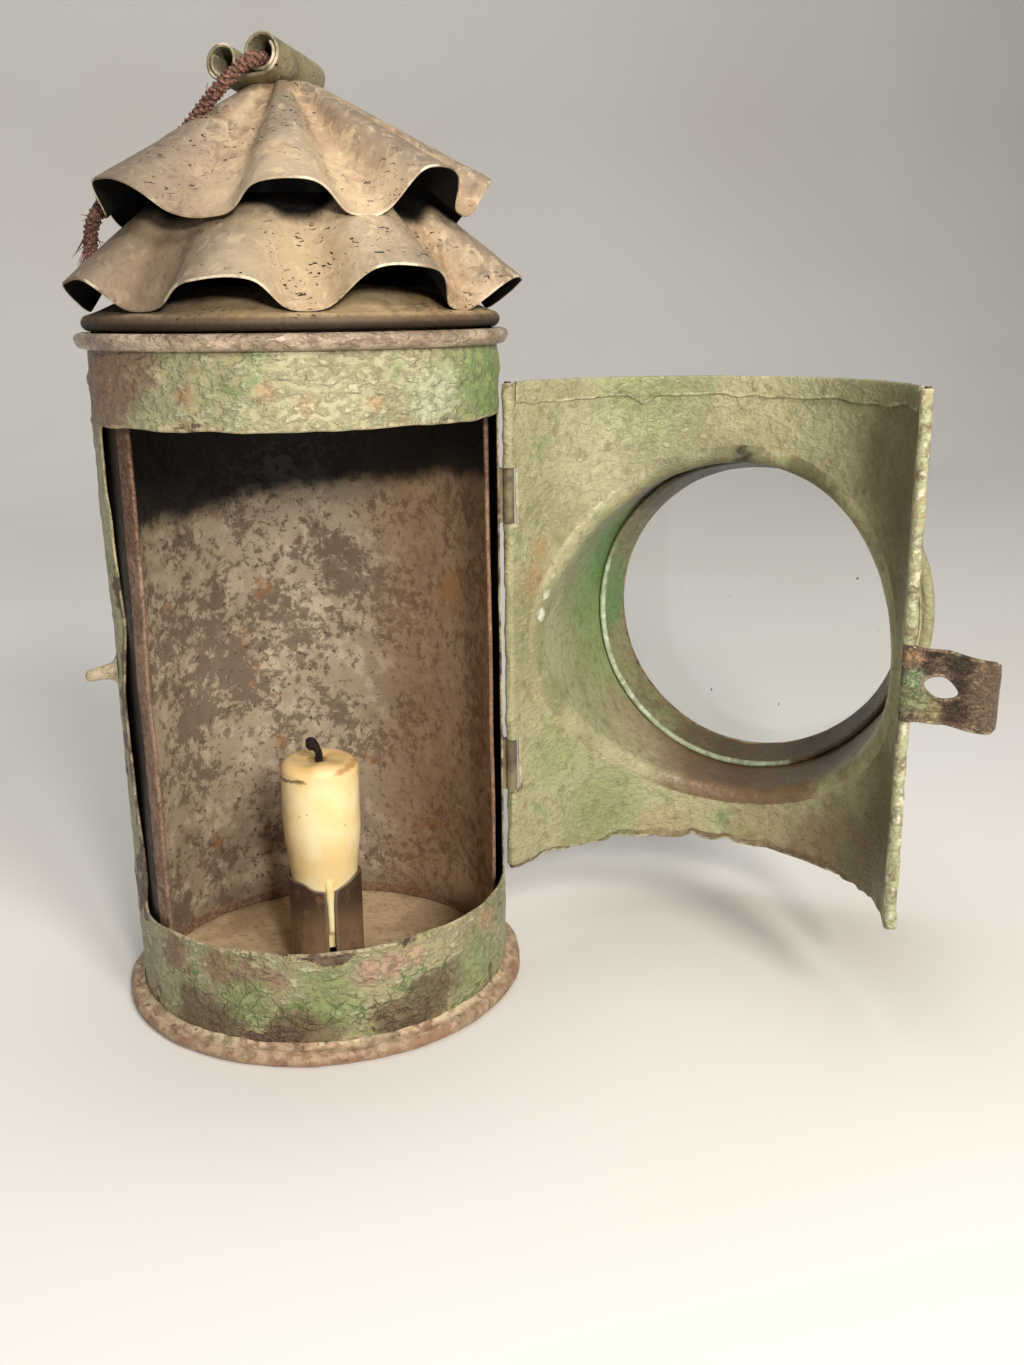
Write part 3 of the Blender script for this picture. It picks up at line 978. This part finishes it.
def cowlGrid(cowl):                  # straight rulings to a rim that waves between ridges and valleys
    degrees = np.linspace(0, 360, 385)
    home = cowl["ridgeDeg"] + 45 * np.arange(8)
    knots = np.stack([home + cowl["ridgeTurn"], home + 22.5 + np.array(cowl["valleyTurn"])], 1).ravel()
    knots = np.concatenate([knots - 360, knots, knots + 360, knots[:1] + 720])
    phase = np.interp(degrees, knots, np.arange(49))
    after = np.floor(phase).astype(int) % 16
    ridge, valley = (after + 1) // 2 % 8, after // 2
    wave = np.tanh(1.6 * np.cos(math.pi * phase)) / math.tanh(1.6)
    share = (1 + wave) / 2
    slant = cowl["slant"]
    slopes = []
    for kind, which in (("ridge", ridge), ("valley", valley)):
        lift = np.array(cowl[kind + "Lift"])[which] / (slant * math.sin(math.atan(cowl[kind])))
        slopes.append(cowl[kind] * (1 - lift))
    fall = cowl.get("fall", slopes[1])
    valleyAngle = np.arctan(slopes[1])
    offset = (1 - share) * slant * (np.cos(valleyAngle) - np.sin(valleyAngle) / fall)
    spread = share / slopes[0] + (1 - share) / fall
    ragged = 0.5 * lumps(around(30, degrees, 0), 7, cowl["seed"], 2)
    reach = slant + share * np.array(cowl["ridgeReach"])[ridge] + ragged
    square = 1 + spread ** 2
    foot = (np.sqrt(square * reach ** 2 - offset ** 2) - offset * spread) / square
    start = (cowl["bore"] - offset) / spread if "bore" in cowl else np.full(len(degrees), cowl["tip"])
    t = np.linspace(0, 1, 44)[None]
    drop = start[:, None] + (foot - start)[:, None] * t
    radius, height = offset[:, None] + drop * spread[:, None], cowl["apex"] - 0.4 - drop
    fold = np.broadcast_to(wave[:, None], drop.shape)
    if "tip" in cowl:                # a blunt top, rising a little to its middle
        cap = np.array([0.0, 0.55, 0.85])
        radius = np.concatenate([radius[:, :1] * cap, radius], 1)
        height = np.concatenate([height[:, :1] + 0.9 * (1 - cap ** 2), height], 1)
        fold = np.concatenate([fold[:, :3], fold], 1)
    points = around(radius, degrees[:, None], height)
    return dict(points=points[:, ::-1], marks=dict(fold=fold[:, ::-1]))


def cowlShape(seed):                 # dents that grow towards the rim
    def shape(points):
        dent = 0.5 * lumps(points, 15, seed) + 0.16 * lumps(points, 5, seed + 1)
        return push(points, [0, 0, 1], ramp(polar(points)[0], 8, 46) * dent)
    return shape


sootedRoof = roofPaint("sootedRoof", {**roofLook, "throat": ((0, 0, 207), 37.0)})
sheetPiece("lowerCowlSheet", [cowlGrid(lowerCowl)], lowerCowl["gauge"], sootedRoof, "top",
           ["lower_cowl"], cowlShape(91))
sheetPiece("upperCowlSheet", [cowlGrid(upperCowl)], upperCowl["gauge"], roofTin, "top",
           ["upper_cowl"], cowlShape(93))
roof = dict(gauge=0.6, bead=48.7, beadZ=176.06, roll=1.58, hole=33.7, pitch=21.0)


def roofShape(points):               # the bead wavers in and out, the cone up and down
    bead = ramp(polar(points)[0], 46, 48)
    out = bead * 0.28 * lumps(points, 9, 95)
    rise = bead * 0.12 * lumps(points, 16, 96) + (1 - bead) * 0.3 * lumps(points, 10, 97)
    return push(push(points, unit(points * [1, 1, 0]), out), [0, 0, 1], rise)


roofRise = (roof["bead"] - roof["hole"]) * math.tan(math.radians(roof["pitch"]))
eaves = roof["beadZ"] + roof["roll"]
roofPath = np.concatenate([arc((roof["bead"], roof["beadZ"]), roof["roll"], -190, 90, 20),
                           line((roof["bead"], eaves), (roof["hole"], eaves + roofRise), 12)[1:]])
roofGrid = spun(roofPath, turnDeg)
eavesLook = {**roofLook, "sand": "bb9f74", "khaki": "a08862", "bead": (176.6, 178.0)}
sheetPiece("roofSheet", [dict(points=roofGrid, marks=dict(fold=-0.3 * np.ones(roofGrid.shape[:2])))],
           roof["gauge"], roofPaint("roofEaves", eavesLook, False), "top", ["roof_cone"],
           roofShape)

# Scroll bracket.
scroll = dict(right=4.4, left=3.9, half=4.9, length=25.0, turnDeg=57.0, offset=4.0, seat=230.3, gauge=0.75,
              pitch=-0.11, roll=0.1, inward=0.95)


def scrollGrids():                   # a strip rolled up at both ends, carried along the tubes
    def curled(radius):
        turn = np.radians(np.linspace(-90, 395, 64))
        shrunk = radius - scroll["inward"] * (turn + math.pi / 2) / (2 * math.pi)
        return np.stack([scroll["half"] + shrunk * np.cos(turn), radius + shrunk * np.sin(turn)], -1)

    left = (curled(scroll["left"]) * [-1, 1])[::-1]
    path = np.concatenate([left, line((-scroll["half"], 0), (scroll["half"], 0), 9)[1:-1],
                           curled(scroll["right"])])
    along = np.linspace(-scroll["length"] / 2, scroll["length"] / 2, 30)[:, None, None]
    sideways = path[None, :, :1] - scroll["offset"]
    rise = scroll["seat"] + path[None, :, 1:] + scroll["pitch"] * (along + scroll["length"] / 2)
    rise = rise + scroll["roll"] * sideways
    points = (around(1, scroll["turnDeg"] - 90, 0) * sideways + around(1, scroll["turnDeg"], 0) * along
              + np.array([0, 0, 1]) * rise)
    return [dict(points=points, marks=dict(fold=np.full(points.shape[:2], 0.1)))]


def scrollShape(points):             # small lumps, up and outwards
    up, out = 0.18 * lumps(points, 7, 98), 0.18 * lumps(points, 6, 99)
    return push(push(points, [0, 0, 1], up), unit(points * [1, 1, 0]), out)


scrollLook = {**roofLook, "pale": "a09878", "sand": "8d8468", "khaki": "777053", "grey": "5a5243",
              "rust": "8b8350"}
sheetPiece("scrollSheet", scrollGrids(), scroll["gauge"], roofPaint("scrollTin", scrollLook, False), "top",
           ["cord_scroll"], scrollShape)
print("top done")

# Candle, socket and wick.
socket = dict(radius=9.8, gauge=0.55, low=0.7, high=29.0, slot=1.2, mouth=1.6, mouthLow=22.0)


def socketGrids():                   # a tube with a slot that opens towards its mouth
    heights = socket["low"] + (socket["high"] - socket["low"]) * np.linspace(0, 1, 28)[None]
    opening = ramp(heights, socket["mouthLow"], socket["high"] + 1)
    half = socket["slot"] + (socket["mouth"] - socket["slot"]) * opening
    gap = np.degrees(half / socket["radius"])
    share = np.linspace(0, 1, 73)[:, None]
    return [dict(points=around(socket["radius"], -90 + gap + (360 - 2 * gap) * share, heights))]


def socketShape(points):             # an uneven mouth, lowest beside the slot
    radius, angle, z = polar(points)
    nearSlot = np.exp(-((angle + 90) / 26) ** 2)
    uneven = 0.8 * (lumps(around(socket["radius"], angle, 0), 5, 101, 2) - 0.6) - 1.7 * nearSlot
    return around(radius + 0.1 * lumps(points, 6, 102), angle, z + uneven * ramp(z, 20, 29))


def socketPaint():                   # brown tin, darker to its mouth and rubbed at its edges
    paint = Paint("socketTin")
    broad, fine = paint.grain(9, 1, 5.0, 0.6, (1, 1, 0.5)), paint.grain(1.4, 2, 4.0)
    colour = paint.blend(broad, 0.4, 0.62, "7b6049", "957759")
    colour = paint.layers(colour, ((paint.axis(2) + (broad - 0.5) * 14, 14, 24, 0.75, "3e3028"),
                                   (paint.grain(4, 3, 5.0), 0.58, 0.68, 0.6, "8c6b48"),
                                   (fine, 0.6, 0.7, 0.5, "2f261f"),
                                   (paint.mark("edge") + (fine - 0.5), 0.6, 0.2, 0.6, "8f8069")))
    return paint.finish(colour, 0.45 + (fine - 0.5) * 0.3, 0.3, fine * 0.6 + broad * 0.6, 0.12)


sheetPiece("socketSheet", socketGrids(), socket["gauge"], socketPaint(), "case",
           ["candle_socket"], socketShape)
wax = dict(foot=9.0, footRadius=7.6, neck=9.2, neckZ=29.0, radius=10.6, swellZ=44.0, top=62.0, shoulder=3.0,
           ribOut=9.95, ribLow=14.5)


def candleGrids():                   # foot, tapering neck, swelling body, round shoulder and lid, spun
    z = np.concatenate([np.linspace(wax["foot"], wax["neckZ"], 20),
                        np.linspace(wax["neckZ"], wax["top"] - wax["shoulder"], 34)[1:]])
    climb = (np.minimum(z, wax["neckZ"]) - wax["foot"]) / (wax["neckZ"] - wax["foot"])
    body = wax["footRadius"] + (wax["neck"] - wax["footRadius"]) * climb
    body = body + (wax["radius"] - wax["neck"]) * ramp(z, wax["neckZ"] - 1, wax["swellZ"])
    cap = arc((wax["radius"] - wax["shoulder"], wax["top"] - wax["shoulder"]), wax["shoulder"], 0, 82, 9)[1:]
    lid = line(cap[-1], (0, wax["top"] - 0.7), 9)[1:]
    path = np.concatenate([line((0, wax["foot"]), (wax["footRadius"], wax["foot"]), 5)[:-1],
                           np.stack([body, z], -1), cap, lid])
    return [dict(points=spun(path, np.linspace(-90, 270, 145)))]


def candleShape(points):             # wax run down into the slot, an uneven top, soft hollows
    radius, angle, z = polar(points)
    off = np.abs((angle + 90 + 180) % 360 - 180)
    halfDeg = 4.9 + 1.8 * ramp(z, 22, 30)
    within = ramp(z, wax["ribLow"] - 1.2, wax["ribLow"]) * ramp(z, 30, 28) * ramp(radius, 5, 7.5)
    rib = ramp(off, halfDeg + 1.2, halfDeg - 0.6) * within
    out = radius + rib * (wax["ribOut"] - radius)
    soft = ramp(z, 29.5, 33)
    out = out * (1 + soft * (0.012 * lumps(points, 12, 103) + 0.006 * lumps(points, 4, 104)))
    crown = ramp(z, wax["top"] - 4, wax["top"])

    def nick(atDeg, wide, level, tall):     # a bell across the angle times a bell up the height
        return np.exp(-((angle - atDeg) / wide) ** 2) * np.exp(-((z - level) / tall) ** 2)

    chip = nick(-150, 26, 58.4, 0.35) + nick(-45, 20, 59.6, 0.4)
    top = crown * (0.55 * lumps(points * [1, 1, 0], 6, 105, 2) - 0.8 * np.exp(-(radius / 3.2) ** 2))
    return around(out - 0.35 * chip * (radius > 8), angle, z + top)


def waxPaint():                      # cream wax, browner at the top, with specks, a scar and a streak
    paint = Paint("candleWax")
    broad, fine = paint.grain(11, 1, 4.0), paint.grain(1.6, 2, 3.0)
    x, z = paint.axis(0), paint.axis(2)
    heated = paint.ease(z, 46, 60)
    colour = paint.blend(broad, 0.35, 0.65, "f4d698", "fae6b8")
    colour = paint.layers(colour, ((z + (broad - 0.5) * 6, 54, 62, 0.5, "dfb06a"),
                                   (paint.grain(4.0, 3, 4.0), 0.64, 0.72, heated * 0.6, "b98544"),
                                   (paint.grain(1.1, 4, 2.0), 0.735, 0.76, 0.85, "6b4724")))
    level = z + (fine - 0.5) * 1.6 + (broad - 0.5) * 3
    scar = paint.ease(level, 57.5, 58.0) * paint.ease(level, 58.8, 58.3) * paint.ease(x, -4.0, -6.0)
    colour = paint.mix(scar * 0.75, colour, tint("4a321c"))
    streak = paint.ease(level, 59.4, 60.0) * paint.ease(level, 61.2, 60.6) * paint.ease(x, 1.5, 4.5)
    colour = paint.mix(streak * 0.6, colour, tint("95642f"))
    colour = paint.mix(paint.spot((0, 0, 61.2), 2.6, 0.9, 5, 0.5) * 0.8, colour, tint("7d5730"))
    return paint.finish(colour, 0.42 + (broad - 0.5) * 0.2, 0.0, broad * 0.5 + fine * 0.25, 0.16,
                        **{"Subsurface Weight": 0.25, "Subsurface Radius": (1.0, 0.55, 0.25),
                           "Subsurface Scale": 0.004})


candleWax = waxPaint()
lumpPiece("candleStub", candleGrids(), candleWax, "candle", ["candle"], candleShape)


def sweptTube(path, radii, sides):   # circles square to a path, closed at both ends
    tangent = unit(np.gradient(path, axis=0))
    helper = np.where(np.abs(tangent[:, 2:]) > 0.8, [[1.0, 0, 0]], [[0, 0, 1.0]])
    first = unit(np.cross(helper, tangent))
    second = np.cross(tangent, first)
    a = np.linspace(0, 2 * math.pi, sides + 1)[:, None, None]
    wall = path + radii[:, None] * (np.cos(a) * first + np.sin(a) * second)
    ends = [np.broadcast_to(path[k], (sides + 1, 1, 3)) for k in (0, -1)]
    return np.concatenate([ends[0], wall, ends[1]], 1)


def charPaint():                     # two blacks in fine grain
    paint = Paint("charredWick")
    fine = paint.grain(0.5, 1, 4.0)
    colour = paint.blend(fine, 0.4, 0.65, "14100d", "3a3029")
    return paint.finish(colour, 0.95, 0.0, fine, 0.3, **{"Specular IOR Level": 0.15})


bend = np.linspace(0, 1, 15)[:, None]
wickLine = ((1 - bend) ** 3 * [0, 0, 57] + 3 * bend * (1 - bend) ** 2 * [0.6, 0, 64]
            + 3 * bend ** 2 * (1 - bend) * [-0.4, 0, 66.6] + bend ** 3 * [-3.4, -0.8, 66.0])
wickRadii = np.array([0.2] + [1.0] * 6 + [1.1, 1.25, 1.4, 1.6, 1.8, 1.75, 1.3, 0.2])


def wickShape(points):               # crumbly lumps away from the wick's middle
    return push(points, unit(points - [0, 0, 63]), 0.5 * lumps(points, 1.3, 106, 2))


lumpPiece("burntWick", [dict(points=sweptTube(wickLine, wickRadii, 14))], charPaint(), "candle",
          ["wick"], wickShape)
print("candle done")

# Cord.
cord = dict(diameter=4.4, plies=4, plyOut=1.05, plyTwist=8.5, yarns=2, yarnOut=0.36, yarnTwist=3.2,
            yarnRadius=0.44, steps=420)
cordRoute = ((5.6, 8.6, 231.8), (-0.6, -1.0, 232.9), (-5.0, -8.0, 233.8), (-8.4, -12.2, 233.2),
             (-12.6, -12.8, 229.8), (-16.4, -11.8, 226.2), (-19.8, -9.8, 222.4), (-23.2, -7.8, 218.4),
             (-27.2, -6.9, 214.4), (-32.0, -6.6, 210.4), (-37.2, -6.4, 206.6), (-42.0, -6.0, 203.4),
             (-45.6, -5.4, 199.4), (-46.8, -5.0, 194.6), (-46.8, -4.8, 190.4))


def cordLine():                      # the route's smooth line, read from its own spline
    curve = bpy.data.curves.new("cordRoute", "CURVE")
    curve.dimensions = "3D"
    curve.resolution_u = 24
    spline = curve.splines.new("NURBS")
    spline.points.add(len(cordRoute) - 1)
    for point, at in zip(spline.points, cordRoute):
        point.co = (*(v * mm for v in at), 1)
    spline.order_u = 3
    spline.use_endpoint_u = True
    holder = bpy.data.objects.new("cordRoute", curve)
    mesh = bpy.data.meshes.new_from_object(holder)
    points = np.empty(len(mesh.vertices) * 3)
    mesh.vertices.foreach_get("co", points)
    bpy.data.objects.remove(holder)
    bpy.data.meshes.remove(mesh)
    bpy.data.curves.remove(curve)
    return points.reshape(-1, 3) / mm


# strands that wind round a line: one turn for each pitch of its length, set evenly about it
def strandLines(path, count, radius, pitch):
    tangent = unit(np.gradient(path, axis=0))
    side = unit(np.cross(np.broadcast_to([0.3, 0.2, 0.9], tangent.shape), tangent))
    other = np.cross(tangent, side)
    length = np.concatenate([[0], np.cumsum(np.linalg.norm(np.diff(path, axis=0), axis=1))])
    angle = 2 * math.pi * (length / pitch + np.arange(count)[:, None] / count)
    return path + radius * (np.cos(angle)[..., None] * side + np.sin(angle)[..., None] * other), length[-1]


def cordPaint():                     # brown fibres, pale where they stand up, with darker lengths
    paint = Paint("brownCord")
    fibre, broad = paint.grain(0.6, 1, 4.0, 0.6), paint.grain(6, 2, 3.0)
    colour = paint.blend(fibre, 0.36, 0.64, "3f2721", "8a6252")
    colour = paint.layers(colour, ((fibre, 0.6, 0.72, 0.7, "c39d86"), (broad, 0.5, 0.7, 0.5, "2d1f1b")))
    return paint.finish(colour, 0.85, 0.0, fibre, 0.25)


brownCord = cordPaint()
middleLine = cordLine()
known = np.arange(len(middleLine))
wanted = np.linspace(0, len(middleLine) - 1, cord["steps"])
middleLine = np.stack([np.interp(wanted, known, column) for column in middleLine.T], -1)
yarns = []
plies, cordLength = strandLines(middleLine, cord["plies"], cord["plyOut"], cord["plyTwist"])
for ply in plies:
    threads, _ = strandLines(ply, cord["yarns"], cord["yarnOut"], cord["yarnTwist"])
    for thread in threads:
        yarns.append(dict(points=sweptTube(thread, np.full(len(thread), cord["yarnRadius"]), 6)))
twist = lumpPiece("twistedCord", yarns, brownCord, "top", ["hanging_cord"])


def fraySpread(count):               # loose fibres at the cut end and a few along the cord
    rng = np.random.default_rng(111)
    t = np.linspace(0, 1, 9)[:, None]
    hairs = []
    for index in range(count):
        atEnd = index < count * 0.55
        first, last = (400, 419) if atEnd else (120, 400)
        at = middleLine[rng.integers(first, last)] + rng.uniform(-1.7, 1.7, 3)
        run = np.array([rng.uniform(-1, 1), rng.uniform(-1, 1),
                        rng.uniform(-2.2, -0.4) if atEnd else rng.uniform(-0.7, 0.7)])
        size = rng.uniform(2.5, 6.5) if atEnd else rng.uniform(1.5, 3.2)
        path = at + size * t * unit(run) + rng.uniform(-1, 1, 3) * 1.2 * t ** 2
        hairs.append(dict(points=sweptTube(path, np.linspace(0.16, 0.05, 9), 4)))
    return hairs


frayed = lumpPiece("frayedFibres", fraySpread(90), brownCord, "top")
cordLength * mm
print("cord done", round(cordLength, 1))

# Pieces that keep their machined shape.


# two tones in broad grain, rust in fine grain
def ironPaint(name, dark, light, rust, metal=0.25, rough=0.55, gloss=0.5):
    paint = Paint(name)
    fine, broad = paint.grain(1.2, 1, 4.0), paint.grain(8, 2, 4.0)
    colour = paint.blend(broad, 0.4, 0.62, dark, light)
    colour = paint.mix(paint.ease(fine, 0.52, 0.66) * 0.6, colour, tint(rust))
    return paint.finish(colour, rough + (fine - 0.5) * 0.3, metal, fine, 0.1,
                        **{"Specular IOR Level": gloss})


wireIron = ironPaint("wireIron", "3d3229", "5b4b3d", "6f4d33")
throatTin = ironPaint("throatTin", "080605", "100c0a", "150f0b", 0.0, 0.95, 0.05)
loopPaint = ironPaint("loopPaint", "5a4f3a", "777050", "3f3225", 0.0)
keptNodes = {"foot_wire": wireIron, "case_rim_wire": wireIron, "roof_rim_wire": wireIron,
             "hinge_wire": wireIron, "door_edge_wire": wireIron, "hinge_loop_lower": loopPaint,
             "hinge_loop_upper": loopPaint, "roof_skirt": throatTin, "chimney_throat": throatTin}
for node, paint in keptNodes.items():
    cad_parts[node].data.materials.clear()
    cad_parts[node].data.materials.append(paint)

# Studio.
studio = dict(floor="d6d3ce", frontWatts=3.2, sideWatts=5.2, topWatts=15.5, backWatts=9.0, world=0.16)


def sweepFloor():                    # floor that curves up into a backdrop
    t = np.linspace(0, math.pi / 2, 13)
    path = np.concatenate([[[-2500, 0]], np.stack([900 + 400 * np.sin(t), 400 - 400 * np.cos(t)], -1),
                           [[1300, 2600]]])
    across = np.linspace(-2600, 2600, 3)
    points = np.stack(np.broadcast_arrays(across[:, None], path[:, 0], path[:, 1]), -1)
    block, quads, _ = joinGrids([dict(points=points)])
    mesh = bpy.data.meshes.new("studioSweep")
    mesh.from_pydata((block * mm).tolist(), [], quads.tolist())
    mesh.shade_smooth()
    paint = Paint("studioPaper")
    soft = paint.grain(300, 1, 2.0)
    tone = paint.blend(soft, 0.3, 0.7, studio["floor"], "d3cec7")
    mesh.materials.append(paint.finish(tone, 0.9))
    sweep = bpy.data.objects.new("studioSweep", mesh)
    bpy.context.scene.collection.objects.link(sweep)


def placed(right, up, back, at):     # matrix of an item from its three axes and its place
    rows = np.stack([right, up, back], 1).tolist()
    return Matrix([[*row, along] for row, along in zip(rows, at)] + [[0, 0, 0, 1]])


# a round lamp whose back axis runs from its target to its place
def lamp(name, at, size, watts, colour, target=(0.03, 0.0, 0.11)):
    light = bpy.data.lights.new(name, "AREA")
    light.shape, light.size, light.energy, light.color = "DISK", size, watts, colour
    item = bpy.data.objects.new(name, light)
    back = unit(np.subtract(at, target))
    right = unit(np.cross([0, 0, 1.0], back))
    item.matrix_world = placed(right, np.cross(back, right), back, at)
    bpy.context.scene.collection.objects.link(item)


sweepFloor()
lamp("frontLight", (0.03, -0.62, 0.335), 0.09, studio["frontWatts"], (1.0, 0.94, 0.85))
lamp("sideLight", (0.26, -0.75, 0.64), 0.22, studio["sideWatts"], (1.0, 0.95, 0.88))
lamp("topLight", (-0.3, 0.1, 2.1), 2.0, studio["topWatts"], (0.98, 0.99, 1.0))
lamp("backLight", (0.2, 0.3, 1.9), 0.8, studio["backWatts"], (0.98, 0.99, 1.0), (0.2, 1.3, 0.7))
world = bpy.data.worlds.new("softRoom")
world.use_nodes = True
world.node_tree.nodes["Background"].inputs[0].default_value = (0.95, 0.97, 1.0, 1)
world.node_tree.nodes["Background"].inputs[1].default_value = studio["world"]
bpy.context.scene.world = world
bpy.context.scene.view_settings.view_transform = "Standard"

# the photograph's camera: metres, radians, and pixels for its focal length and height
view = dict(at=(-0.044012, -0.340769, 0.178734), yaw=0.28212, pitch=0.27659, roll=-0.01102, focal=1324.75,
            tall=1365)
ahead = np.array([math.sin(view["yaw"]) * math.cos(view["pitch"]),
                  math.cos(view["yaw"]) * math.cos(view["pitch"]), -math.sin(view["pitch"])])
right = np.array([math.cos(view["yaw"]), -math.sin(view["yaw"]), 0])
up = np.cross(right, ahead)
across = right * math.cos(view["roll"]) + up * math.sin(view["roll"])
upright = -right * math.sin(view["roll"]) + up * math.cos(view["roll"])
camera = bpy.data.cameras.new("photoCamera")
camera.sensor_width = 36
camera.lens = 36 * view["focal"] / view["tall"]
camera.clip_start = 0.01
eye = bpy.data.objects.new("photoCamera", camera)
eye.matrix_world = placed(across, upright, -ahead, view["at"])
bpy.context.scene.collection.objects.link(eye)
bpy.context.scene.camera = eye
print("studio ready")
